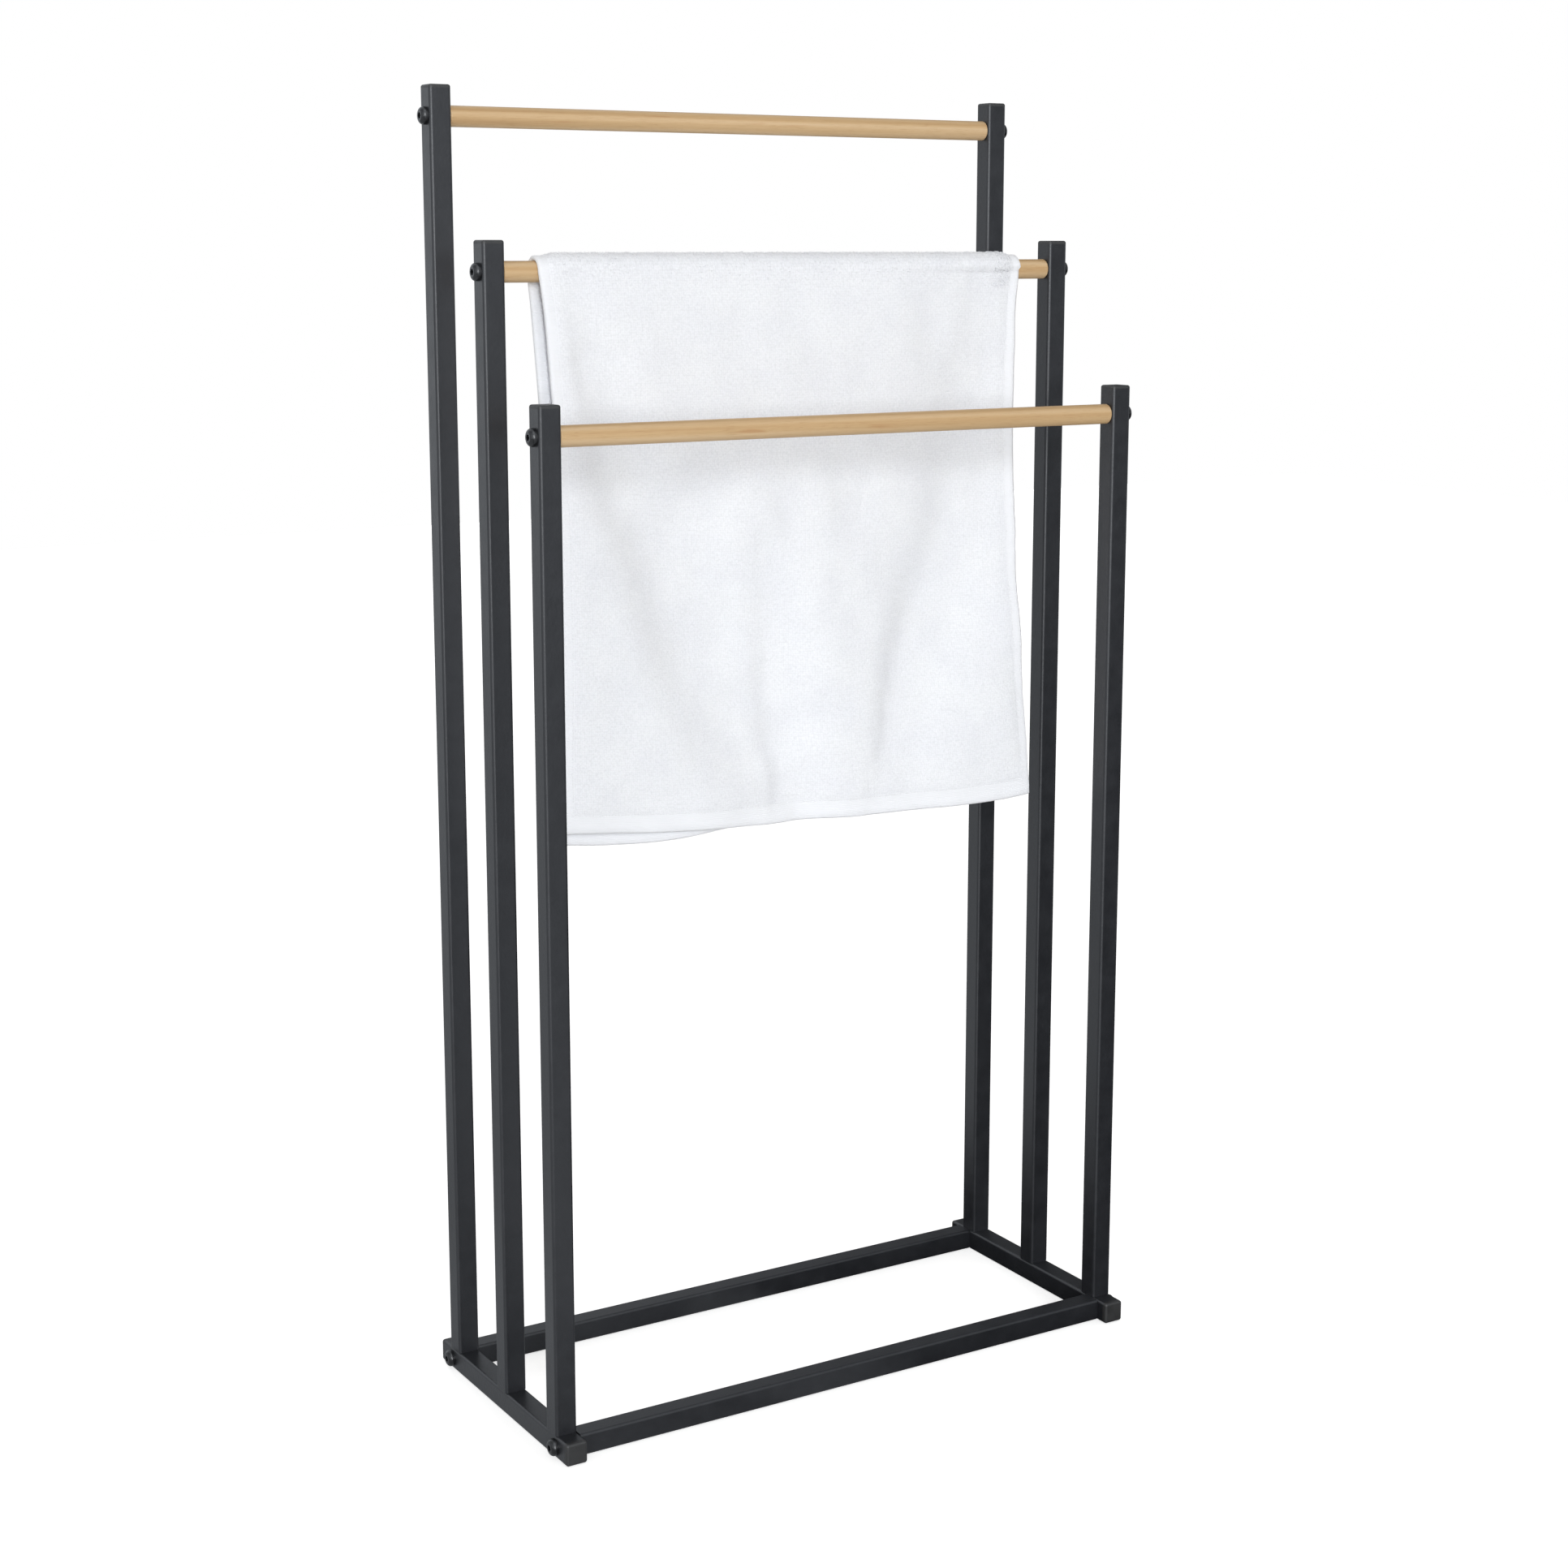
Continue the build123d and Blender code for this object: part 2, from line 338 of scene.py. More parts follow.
# The kink where the front hem is folded: the height at which it starts, over how much it
# grows, and its dent and its ridge as (x, height, width).
KINK_TOP = 0.552
KINK_GROWTH = 0.030
KINK_DENT = (-0.012, 0.0014, 0.0060)
KINK_RIDGE = (0.004, 0.0012, 0.0055)

# The folds: each is a valley that runs down through points of (x, z, depth, width to its left,
# width to its right). A power of 2 would round its floor like a bell, and more flattens it.
FOLD_POWER = 2.7
FOLD_END = 0.045         # how far a valley runs on beyond its ends
FOLD_DEPTH = 1.40        # times the depths in SHARED_FOLDS
SHARED_FOLDS = [
    [(-0.213, 0.960, 0.0030, 0.016, 0.020), (-0.202, 0.924, 0.0060, 0.020, 0.026),
     (-0.164, 0.814, 0.0125, 0.034, 0.045), (-0.124, 0.768, 0.0170, 0.046, 0.075),
     (-0.108, 0.723, 0.0182, 0.048, 0.085), (-0.088, 0.678, 0.0178, 0.050, 0.085),
     (-0.060, 0.631, 0.0150, 0.054, 0.075), (-0.026, 0.582, 0.0120, 0.054, 0.060),
     (-0.012, 0.544, 0.0080, 0.050, 0.045)],
    [(0.214, 0.965, 0.0028, 0.034, 0.040), (0.200, 0.906, 0.0056, 0.036, 0.045),
     (0.184, 0.791, 0.0070, 0.038, 0.050), (0.170, 0.746, 0.0086, 0.038, 0.055),
     (0.151, 0.701, 0.0104, 0.036, 0.060), (0.130, 0.657, 0.0098, 0.030, 0.060),
     (0.118, 0.611, 0.0080, 0.024, 0.055), (0.113, 0.565, 0.0068, 0.022, 0.050),
     (0.106, 0.528, 0.0020, 0.022, 0.045)],
    [(0.210, 0.960, 0.0050, 0.075, 0.040), (0.182, 0.791, 0.0078, 0.085, 0.080),
     (0.148, 0.721, 0.0062, 0.075, 0.085), (0.116, 0.611, 0.0016, 0.040, 0.085),
     (0.104, 0.528, 0.0008, 0.040, 0.085)],
    [(-0.006, 0.705, 0.0006, 0.016, 0.030), (-0.012, 0.640, 0.0036, 0.020, 0.036),
     (-0.006, 0.585, 0.0058, 0.020, 0.044), (0.014, 0.505, 0.0060, 0.018, 0.044)],
]
FRONT_CREASES = [
    [(-0.032, 0.832, 0.0010, 0.014, 0.022), (-0.006, 0.795, 0.0054, 0.014, 0.024),
     (0.016, 0.755, 0.0014, 0.014, 0.022)],
    [(-0.022, 0.795, 0.0010, 0.018, 0.030), (-0.019, 0.740, 0.0058, 0.020, 0.034),
     (-0.014, 0.690, 0.0066, 0.020, 0.034), (-0.008, 0.645, 0.0030, 0.020, 0.030)],
    [(0.052, 0.845, 0.0008, 0.020, 0.026), (0.058, 0.790, 0.0046, 0.020, 0.028),
     (0.054, 0.745, 0.0008, 0.020, 0.026)],
    [(0.150, 1.000, 0.0005, 0.018, 0.022), (0.146, 0.940, 0.0024, 0.018, 0.022),
     (0.150, 0.900, 0.0005, 0.018, 0.022)],
]


# ------------------------------------------------------------------ finishes
def object_place(tree, scale=(1, 1, 1), shift=(0, 0, 0)):
    """The piece's own coordinates in metres, stretched for a pattern."""
    place = add(tree, "ShaderNodeTexCoord")
    mapping = add(tree, "ShaderNodeMapping", Vector=place.outputs["Object"])
    mapping.inputs["Scale"].default_value = scale
    mapping.inputs["Location"].default_value = shift
    return mapping.outputs[0]


def noise(tree, vector, scale, detail=3.0, roughness=0.5, distortion=0.0):
    node = add(tree, "ShaderNodeTexNoise", Vector=vector, Scale=scale, Detail=detail,
               Roughness=roughness, Distortion=distortion)
    return node.outputs["Fac"]


def bump(tree, height, strength, distance, normal=None):
    node = add(tree, "ShaderNodeBump", Height=height, Strength=strength, Distance=distance)
    if normal is not None:
        tree.links.new(normal, node.inputs["Normal"])
    return node.outputs["Normal"]


def finish_surface(tree, **inputs):
    """A Principled surface with these inputs, as the material's output."""
    surface = add(tree, "ShaderNodeBsdfPrincipled", **inputs)
    add(tree, "ShaderNodeOutputMaterial", Surface=surface.outputs[0])


def powder_coat():
    """Matt anthracite powder coat: faint cloudiness, and the fine pebble of cured powder."""
    material, tree = new_material("powder_coated_steel")
    place = object_place(tree)
    cloud = noise(tree, place, 55.0, 4.0, 0.6)
    pebble = noise(tree, place, 1500.0, 2.0, 0.6)
    swell = noise(tree, place, 330.0, 2.0, 0.5)
    colour = ramp(tree, blend(tree, cloud, 0.6, pebble, 0.4), [
        (0.30, (0.0090, 0.0096, 0.0118)),
        (0.52, (0.0118, 0.0125, 0.0150)),
        (0.75, (0.0155, 0.0164, 0.0195)),
    ])
    rough = map_range(tree, cloud, 0.3, 0.7, 0.34, 0.42)
    relief = bump(tree, swell, 0.16, 0.0005)
    relief = bump(tree, pebble, 0.22, 0.00025, relief)
    finish_surface(tree, Base__Color=colour, Roughness=rough, Normal=relief)
    return material


def moulded_plastic():
    """The plugs' black plastic: spark-eroded mould texture, a little greyer than the coat."""
    material, tree = new_material("moulded_black_plastic")
    place = object_place(tree)
    grain = noise(tree, place, 2400.0, 3.0, 0.65)
    flow = noise(tree, place, 120.0, 2.0, 0.5)
    colour = ramp(tree, blend(tree, grain, 0.5, flow, 0.5), [
        (0.30, (0.0150, 0.0148, 0.0150)),
        (0.70, (0.0250, 0.0245, 0.0245)),
    ])
    rough = map_range(tree, flow, 0.3, 0.7, 0.47, 0.58)
    finish_surface(tree, Base__Color=colour, Roughness=rough,
                   Normal=bump(tree, grain, 0.35, 0.0002))
    return material


def black_oxide():
    """The bolts' black oxide: glossy, faintly smeared and uneven."""
    material, tree = new_material("blackened_bolt_steel")
    place = object_place(tree)
    smear = noise(tree, place, 420.0, 4.0, 0.6)
    fine = noise(tree, place, 2600.0, 2.0, 0.5)
    colour = ramp(tree, smear, [
        (0.3, (0.0050, 0.0052, 0.0060)),
        (0.7, (0.0095, 0.0098, 0.0110)),
    ])
    rough = map_range(tree, smear, 0.3, 0.7, 0.20, 0.32)
    finish_surface(tree, Base__Color=colour, Roughness=rough, IOR=1.46,
                   Normal=bump(tree, fine, 0.12, 0.0001))
    return material


def zinc_plate():
    """Zinc plating on the inserts and the tapped blocks: bright, faintly spangled."""
    material, tree = new_material("zinc_plated_steel")
    place = object_place(tree)
    spangle = noise(tree, place, 260.0, 4.0, 0.6, 0.4)
    scratch = noise(tree, object_place(tree, (60, 900, 900)), 1.0, 3.0, 0.6)
    colour = ramp(tree, spangle, [(0.3, (0.50, 0.51, 0.52)), (0.7, (0.66, 0.67, 0.68))])
    rough = map_range(tree, maths(tree, "MULTIPLY", spangle, scratch), 0.1, 0.45, 0.24, 0.42)
    finish_surface(tree, Base__Color=colour, Roughness=rough, Metallic=1.0,
                   Normal=bump(tree, scratch, 0.15, 0.0001))
    return material


def oiled_wood():
    """Pale hardwood dowel: growth-ring streaks along the bar, fine pores, a few warm flecks."""
    material, tree = new_material("pale_oiled_wood")
    warp = noise(tree, object_place(tree, (2.2, 30, 30)), 1.0, 2.0, 0.5)
    rings = add(tree, "ShaderNodeTexWave",
                {"wave_type": "BANDS", "bands_direction": "DIAGONAL", "wave_profile": "SIN"},
                Vector=object_place(tree, (0.25, 62, 48), (0.7, 0.31, 0.17)), Scale=1.0,
                Distortion=5.0, Detail=3.0, Detail__Scale=0.55, Detail__Roughness=0.6)
    streaks = noise(tree, object_place(tree, (3.0, 330, 330)), 1.0, 5.0, 0.62, 0.3)
    pores = noise(tree, object_place(tree, (70, 2400, 2400)), 1.0, 2.0, 0.6)
    flecks = noise(tree, object_place(tree, (16, 190, 190), (0.3, 0.1, 0.2)), 1.0, 1.0, 0.4)
    grain = blend(tree, rings.outputs["Fac"], 0.34, streaks, 0.66)
    grain = maths(tree, "ADD", grain, map_range(tree, warp, 0.2, 0.8, -0.10, 0.10))
    colour = ramp(tree, grain, [
        (0.20, (0.462, 0.284, 0.130)),
        (0.42, (0.541, 0.358, 0.180)),
        (0.58, (0.585, 0.399, 0.214)),
        (0.80, (0.634, 0.458, 0.272)),
    ])
    colour = mix_colours(tree, map_range(tree, pores, 0.30, 0.44, 0.55, 0.0), colour,
                         (0.72, 0.60, 0.48, 1), "MULTIPLY")
    colour = mix_colours(tree, map_range(tree, flecks, 0.70, 0.80, 0.0, 0.45), colour,
                         (0.74, 0.50, 0.34, 1), "MULTIPLY")
    rough = map_range(tree, streaks, 0.3, 0.7, 0.46, 0.60)
    relief = bump(tree, streaks, 0.10, 0.0004)
    relief = bump(tree, pores, 0.12, 0.0001, relief)
    finish_surface(tree, Base__Color=colour, Roughness=rough, Normal=relief)
    return material


def pile_begins(tree, place, size, border):
    """0 on the flat borders along two opposite edges of the towel and 1 on the pile."""
    gap = maths(tree, "MINIMUM", place, maths(tree, "SUBTRACT", size, place))
    return map_range(tree, gap, border - 0.001, border + 0.002, 0, 1, True)


def terry_cloth():
    """White terry: looped pile on both faces, and flat-woven borders with fine cross ribs."""
    material, tree = new_material("white_terry")
    weave = add(tree, "ShaderNodeUVMap", {"uv_map": "weave"})
    split = add(tree, "ShaderNodeSeparateXYZ", Vector=weave.outputs[0])
    pile = maths(tree, "MULTIPLY",
                 pile_begins(tree, split.outputs[0], TOWEL_WIDTH, SELVEDGE),
                 pile_begins(tree, split.outputs[1], TOWEL_LENGTH, HEM))
    flat = maths(tree, "SUBTRACT", 1.0, pile)

    loops = add(tree, "ShaderNodeTexVoronoi", {"feature": "SMOOTH_F1"},
                Vector=weave.outputs[0], Scale=480.0, Smoothness=0.35, Randomness=0.40)
    loop_height = maths(tree, "SUBTRACT", 1.0, loops.outputs["Distance"])
    clumps = noise(tree, weave.outputs[0], 430.0, 3.0, 0.6)
    nap = noise(tree, weave.outputs[0], 24.0, 4.0, 0.55)
    ribs = add(tree, "ShaderNodeTexWave", {"wave_type": "BANDS", "bands_direction": "Y"},
               Vector=weave.outputs[0], Scale=190.0, Distortion=0.6, Detail=2.0)

    pile_height = maths(tree, "MULTIPLY", blend(tree, loop_height, 0.85, clumps, 0.38), pile)
    relief = bump(tree, pile_height, 0.46, 0.0010)
    rib_height = maths(tree, "MULTIPLY", ribs.outputs["Fac"], flat)
    relief = bump(tree, rib_height, 0.35, 0.0003, relief)

    # Partly the pile's random tone, partly painted shade: the colour darkens in the hollows
    # between loops and clumps, where shade falls.
    colour = ramp(tree, blend(tree, clumps, 0.6, loop_height, 0.4), [
        (0.32, (0.775, 0.782, 0.808)),
        (0.62, (0.886, 0.893, 0.922)),
    ])
    # Painted shade: soft cloudy patches where the nap's lie catches less light, multiplied into
    # the colour.
    colour = mix_colours(tree, map_range(tree, nap, 0.35, 0.65, 0.0, 1.0), colour,
                         (0.965, 0.965, 0.975, 1), "MULTIPLY")
    colour = mix_colours(tree, flat, colour, (0.866, 0.874, 0.906, 1))
    finish_surface(tree, Base__Color=colour, Roughness=0.92, Normal=relief,
                   Specular__IOR__Level=0.2, Sheen__Weight=0.22, Sheen__Roughness=0.55,
                   Subsurface__Weight=0.30, Subsurface__Radius=(1.0, 1.0, 1.0),
                   Subsurface__Scale=0.0035)
    return material


def sewing_thread():
    """The seams' white cotton thread, twisted and slightly brighter than the pile."""
    material, tree = new_material("white_sewing_thread")
    twist = noise(tree, object_place(tree, (900, 900, 900)), 1.0, 2.0, 0.5)
    colour = ramp(tree, twist, [(0.3, (0.80, 0.805, 0.83)), (0.7, (0.88, 0.885, 0.91))])
    finish_surface(tree, Base__Color=colour, Roughness=0.8,
                   Normal=bump(tree, twist, 0.2, 0.0001))
    return material


# ------------------------------------------------------------------ the towel's shape
def smooth_step(value):
    value = np.clip(value, 0.0, 1.0)
    return value * value * (3 - 2 * value)


def bell(distance, width):
    """1 at a line, and hardly anything at twice the width from it."""
    return np.exp(-(distance / width) ** 2)


def eased(value, table):
    """A smooth curve through a table of (place, height)."""
    places, heights = zip(*table)
    spread = np.linspace(-EASE, EASE, 7)
    return sum(np.interp(value + step, places, heights) for step in spread) / len(spread)


def wander(across, along, wavelength, seed, count=9):
    """A smooth random field, mostly within -1 and 1: a sum of waves, drawn from a fixed seed."""
    draw = np.random.default_rng(seed)
    field = np.zeros_like(across)
    for _ in range(count):
        turn = draw.uniform(0, 2 * pi)
        length = wavelength * draw.uniform(0.7, 1.6)
        phase = draw.uniform(0, 2 * pi)
        field += np.sin(2 * pi * (across * cos(turn) + along * sin(turn)) / length + phase)
    return field / np.sqrt(count)


def cuts(size, border, both_ends):
    """Where a panel's grid lines lie along one side: close together at the border's step."""
    near = [border * share for share in BORDER_LINES]
    near += [border - BESIDE_STEP, border + BESIDE_STEP]
    far = [size - place for place in reversed(near)] if both_ends else [size]
    inner = far[0] - near[-1]
    count = round(inner / CELL)
    middle = [near[-1] + inner * step / count for step in range(1, count)]
    return np.array(near + middle + far)


ACROSS = cuts(TOWEL_WIDTH, SELVEDGE, True)
FRONT_ALONG = cuts(FRONT_DROP, HEM, False)
BACK_ALONG = cuts(BACK_DROP, HEM, False)
FRONT_ROWS = len(FRONT_ALONG) - 1


def drop_share(z, drop):
    """How far down a panel a height is: 0 at the bar's middle and 1 at the full drop."""
    return np.clip((BAR_Z - z) / drop, 0, 1)


def side_edges(down, back=False):
    """x of the two selvedges, at a share of the drop from the bar to the hem."""
    left = LEFT_EDGE + LEFT_EDGE_IN * (1 - (1 - down) ** 3.8)
    if back:
        left = left - BACK_EDGE_OUT * np.sin(pi * np.clip(down / 0.5, 0, 1))
    return left, eased(down, RIGHT_EDGE)


def hem_height(share, back=False):
    """z of the lower edge, from the left (0) to the right (1)."""
    return eased(share, BACK_HEM if back else FRONT_HEM)


def fold_line(x, z, path):
    """A valley along a path, with its depth and widths eased from point to point."""
    path = np.array(path)
    nearest = np.full_like(x, np.inf)
    offset = np.zeros_like(x)
    beyond = np.zeros_like(x)
    shape = np.zeros((3, *x.shape))
    last = len(path) - 2
    for step, (start, end) in enumerate(zip(path, path[1:])):
        length = np.hypot(end[0] - start[0], end[1] - start[1])
        ux, uz = (end[:2] - start[:2]) / length
        run = (x - start[0]) * ux + (z - start[1]) * uz
        side = (x - start[0]) * -uz + (z - start[1]) * ux
        # The first and the last stretch run on beyond their ends.
        low = -length if step == 0 else 0
        high = 2 * length if step == last else length
        away = np.hypot(run - np.clip(run, low, high), side)
        before = -run if step == 0 else 0
        after = run - length if step == last else 0
        share = smooth_step(run / length)
        nearer = away < nearest
        nearest = np.where(nearer, away, nearest)
        offset = np.where(nearer, np.copysign(away, side), offset)
        beyond = np.where(nearer, np.maximum(np.maximum(before, after), 0), beyond)
        for part in range(3):
            here = start[2 + part] + (end[2 + part] - start[2 + part]) * share
            shape[part] = np.where(nearer, here, shape[part])
    depth, left_width, right_width = shape
    width = np.where(offset > 0, right_width, left_width)
    return -depth * np.exp(-np.abs(offset / width) ** FOLD_POWER) * bell(beyond, FOLD_END)


def valleys(x, z):
    """The folds that run through both layers: negative where the front panel goes in."""
    return FOLD_DEPTH * sum(fold_line(x, z, path) for path in SHARED_FOLDS)


def creases(x, z):
    """Small dents in the front panel alone, and the kink where its hem is folded."""
    depth = sum(fold_line(x, z, path) for path in FRONT_CREASES)
    near_hem = np.clip((KINK_TOP - z) / KINK_GROWTH, 0, 1)
    for sign, (place, height, width) in ((-1, KINK_DENT), (1, KINK_RIDGE)):
        depth += sign * height * near_hem * bell(x - place, width)
    return depth


def swing(x, down, reach):
    """How far the right side of a panel swings to the front, more and more down the drop."""
    aside = np.clip((x - SWING_FROM) / SWING_GROWTH, 0, 1)
    return reach * smooth_step(down / 0.6) * aside ** 1.3


def curl(from_edge, down, depth, width, begins, growth):
    """How far a panel curls beside one of its side edges."""
    return depth * smooth_step((down - begins) / growth) * bell(from_edge, width)


def front_folds(x, z):
    """How far the front panel stands out (+) or in (-) from its even hang."""
    down = drop_share(z, FRONT_DROP)
    left_edge, right_edge = side_edges(down)
    out = FRONT_BELLY * np.sin(pi * down) ** 1.6
    out += swing(x, down, FRONT_SWING)
    out += valleys(x, z) + creases(x, z)
    out -= curl(x - left_edge, down, *FRONT_LEFT_CURL)
    out -= curl(right_edge - x, down, *FRONT_RIGHT_CURL)
    out += 0.0007 * wander(x, z, wavelength=0.075, seed=11) * smooth_step(down / 0.1)
    out += 0.0003 * wander(x, z, wavelength=0.030, seed=12)
    return out


def back_folds(x, z):
    """How far the back panel stands out to the back (+) or in (-) from its even hang."""
    down = drop_share(z, BACK_DROP)
    left_edge, right_edge = side_edges(down, back=True)
    ripple = sum(height * np.sin(2 * pi * (x + drift * down) / length + phase)
                 for height, drift, length, phase in BACK_RIPPLES)
    own = smooth_step(down / 0.5) * (BACK_BELLY + ripple)
    own *= 1 - 0.7 * smooth_step((down - 0.8) / 0.2)
    shared = -valleys(x, z) - swing(x, down, BACK_SWING)
    close = BACK_LEFT_CLOSE * np.sin(pi * np.clip(down / 0.5, 0, 1))
    close -= BACK_LEFT_OFF * smooth_step(down / 0.4)
    shared -= close * bell(x - left_edge, BACK_LEFT_WIDTH)
    shared += curl(right_edge - x, down, *BACK_RIGHT_CURL)
    return own + shared + 0.0005 * wander(x, z, wavelength=0.09, seed=21)


def step_up(gap, border, before, width):
    """0 on a flat border and 1 on the pile, for a distance from the sheet's edge."""
    return smooth_step((gap - border + before) / width)


def border_share(across, along):
    """The steps at the selvedges and at the hems, for a place on the flat towel."""
    side_gap = np.minimum(across, TOWEL_WIDTH - across)
    end_gap = np.minimum(along, TOWEL_LENGTH - along)
    return step_up(side_gap, SELVEDGE, *SELVEDGE_STEP), step_up(end_gap, HEM, *HEM_STEP)


def cloth_thickness(across, along):
    side, end = border_share(across, along)
    thickness = HEM_THICKNESS + (PILE_THICKNESS - HEM_THICKNESS) * end
    return SELVEDGE_THICKNESS + (thickness - SELVEDGE_THICKNESS) * side


def panel_points(share, z, radius, back=False):
    """One hanging panel's points: between its side edges, from round the bar to its hem."""
    down = drop_share(z, BACK_DROP if back else FRONT_DROP)
    left, right = side_edges(down, back)
    x = left + (right - left) * share
    hang = radius + (HEM_HANG - radius) * down
    y = BAR_Y + hang + back_folds(x, z) if back else BAR_Y - hang - front_folds(x, z)
    return np.stack([x, y, z], axis=2)


def towel_grid():
    """The towel's middle surface as a grid of points, and each point's place when flat."""
    share = (ACROSS / TOWEL_WIDTH)[:, None]
    rise = (FRONT_ALONG / FRONT_DROP)[None, :]
    turn = np.linspace(0, pi, OVER_ROWS + 1)[None, 1:-1]
    fall = (1 - BACK_ALONG[::-1] / BACK_DROP)[None, :]
    over_length = TOWEL_LENGTH - (FRONT_DROP + BACK_DROP)
    along_front = rise * FRONT_DROP
    along_over = FRONT_DROP + over_length * turn / pi
    along_back = FRONT_DROP + over_length + fall * BACK_DROP
    along = np.concatenate([along_front, along_over, along_back], axis=1)
    along = np.repeat(along, len(ACROSS), axis=0)
    across = np.repeat(share * TOWEL_WIDTH, along.shape[1], axis=1)
    on_pile = np.full_like(across, TOWEL_LENGTH / 2)
    radius = BAR_RADIUS + BAR_GAP + cloth_thickness(across, on_pile) / 2

    front = slice(0, FRONT_ROWS + 1)
    over = slice(FRONT_ROWS + 1, FRONT_ROWS + OVER_ROWS)
    back = slice(FRONT_ROWS + OVER_ROWS, None)
    front_hem = hem_height(share)
    back_hem = hem_height(share, back=True)
    front_z = front_hem + (BAR_Z - front_hem) * rise
    back_z = BAR_Z + (back_hem - BAR_Z) * fall
    left, right = side_edges(np.zeros(1))

    grid = np.zeros((*along.shape, 3))
    grid[:, front] = panel_points(share, front_z, radius[:, front])
    grid[:, over, 0] = left + (right - left) * share
    grid[:, over, 1] = BAR_Y - radius[:, over] * np.cos(turn)
    grid[:, over, 2] = BAR_Z + radius[:, over] * np.sin(turn)
    grid[:, back] = panel_points(share, back_z, radius[:, back], back=True)
    return grid, across, along


def grid_normals(grid):
    """Unit normals of a grid of points, away from the bar."""
    along_rows = np.gradient(grid, axis=1)
    along_columns = np.gradient(grid, axis=0)
    normals = np.cross(along_columns, along_rows)
    return normals / np.linalg.norm(normals, axis=2, keepdims=True)


def grid_faces(columns, rows):
    """The four-sided faces of a grid of points, numbered down one column after another."""
    index = np.arange(columns * rows).reshape(columns, rows)
    corners = (index[:-1, :-1], index[1:, :-1], index[1:, 1:], index[:-1, 1:])
    return np.stack(corners, axis=2).reshape(-1, 4)


def turned_over(faces):
    """The same faces, looking the other way."""
    return faces[:, [0, 3, 2, 1]]


def mesh_object(name, points, edges=(), faces=(), uvs=None):
    """A mesh from points, with each point's place on the flat towel where uvs gives it."""
    mesh = bpy.data.meshes.new(name)
    mesh.from_pydata(points.tolist(), edges, faces)
    if uvs is not None:
        layer = mesh.uv_layers.new(name="weave")
        corners = np.empty(len(mesh.loops), dtype=np.int64)
        mesh.loops.foreach_get("vertex_index", corners)
        layer.data.foreach_set("uv", uvs[corners].astype(np.float32).ravel())
    piece = bpy.data.objects.new(name, mesh)
    bpy.context.scene.collection.objects.link(piece)
    return piece


# ------------------------------------------------------------------ settling and sheet
SETTLING_FRAMES = 24
SETTLING_CAP = 0.002     # the furthest that a point may move
CLOTH = {
    "quality": 6, "mass": 0.25, "tension_stiffness": 18, "compression_stiffness": 12,
    "shear_stiffness": 8, "bending_stiffness": 1.2, "air_damping": 4.0, "pin_stiffness": 0.6,
    "vertex_group_mass": "held",
}
HELD_BELOW_BAR = 0.012   # what is held fully: down to this far below the bar's middle
HELD_SHARE = 0.55        # how firmly the rest is held


def settling_cloth(grid):
    """A copy of the grid as simulated cloth, held fully on the bar and partly below it."""
    columns, rows = grid.shape[:2]
    faces = grid_faces(columns, rows).tolist()
    cloth = mesh_object("settling_towel", grid.reshape(-1, 3), faces=faces)
    held = cloth.vertex_groups.new(name="held")
    for number, z in enumerate(grid[:, :, 2].ravel()):
        held.add([number], 1.0 if z > BAR_Z - HELD_BELOW_BAR else HELD_SHARE, "REPLACE")
    modifier = cloth.modifiers.new("hang", "CLOTH")
    for setting, value in CLOTH.items():
        setattr(modifier.settings, setting, value)
    modifier.collision_settings.use_collision = False
    modifier.collision_settings.use_self_collision = False
    modifier.point_cache.frame_start = 1
    modifier.point_cache.frame_end = SETTLING_FRAMES
    return cloth


def filled_in(columns, size):
    """Each column of values with its gaps filled in, where every second value is known."""
    places = np.arange(size)
    return np.array([np.interp(places, places[::2], column) for column in columns])


def settled(grid):
    """The grid after a short cloth simulation, held near its arranged folds and on the bar."""
    columns, rows = grid.shape[:2]
    coarse = grid[::2, ::2]
    cloth = settling_cloth(coarse)
    scene = bpy.context.scene
    for number in range(1, SETTLING_FRAMES + 1):
        scene.frame_set(number)
    mesh = bpy.data.meshes.new_from_object(
        cloth.evaluated_get(bpy.context.evaluated_depsgraph_get()))
    after = np.empty(len(mesh.vertices) * 3)
    mesh.vertices.foreach_get("co", after)
    scene.frame_set(1)
    bpy.data.objects.remove(cloth)
    move = after.reshape(coarse.shape) - coarse
    size = np.linalg.norm(move, axis=2, keepdims=True)
    move *= np.minimum(1.0, SETTLING_CAP / np.maximum(size, 1e-9))
    fine = [filled_in(filled_in(move[:, :, axis], rows).T, columns).T for axis in range(3)]
    return grid + np.stack(fine, axis=2)


def rim_line(grid, half):
    """The rim's points, a little outside the sheet, and the grid's numbers beside them."""
    columns, rows = grid.shape[:2]
    index = np.arange(columns * rows).reshape(columns, rows)
    edge = np.concatenate([index[:, 0], index[-1, 1:], index[-2::-1, -1], index[0, -2:0:-1]])
    inwards = np.zeros_like(grid)
    inwards[0] = grid[1] - grid[0]
    inwards[-1] = grid[-2] - grid[-1]
    inwards[:, 0] += grid[:, 1] - grid[:, 0]
    inwards[:, -1] += grid[:, -2] - grid[:, -1]
    inwards = inwards.reshape(-1, 3)[edge]
    inwards /= np.linalg.norm(inwards, axis=1, keepdims=True)
    rim = grid.reshape(-1, 3)[edge] - inwards * half.reshape(-1, 1)[edge] * RIM_ROUND
    return rim, edge


def sheet_faces(columns, rows, edge):
    """The faces of both sides of the sheet, and those that join both to the rim."""
    count = columns * rows
    front = grid_faces(columns, rows)
    sides = np.stack([front, turned_over(front) + count], axis=1).reshape(-1, 4)
    rim = 2 * count + np.arange(len(edge))
    next_edge = np.roll(edge, -1)
    next_rim = np.roll(rim, -1)
    to_front = np.stack([next_edge, edge, rim, next_rim], axis=1)
    to_back = np.stack([edge + count, next_edge + count, next_rim, rim], axis=1)
    joins = np.stack([to_front, to_back], axis=1).reshape(-1, 4)
    return np.concatenate([sides, joins]).tolist()


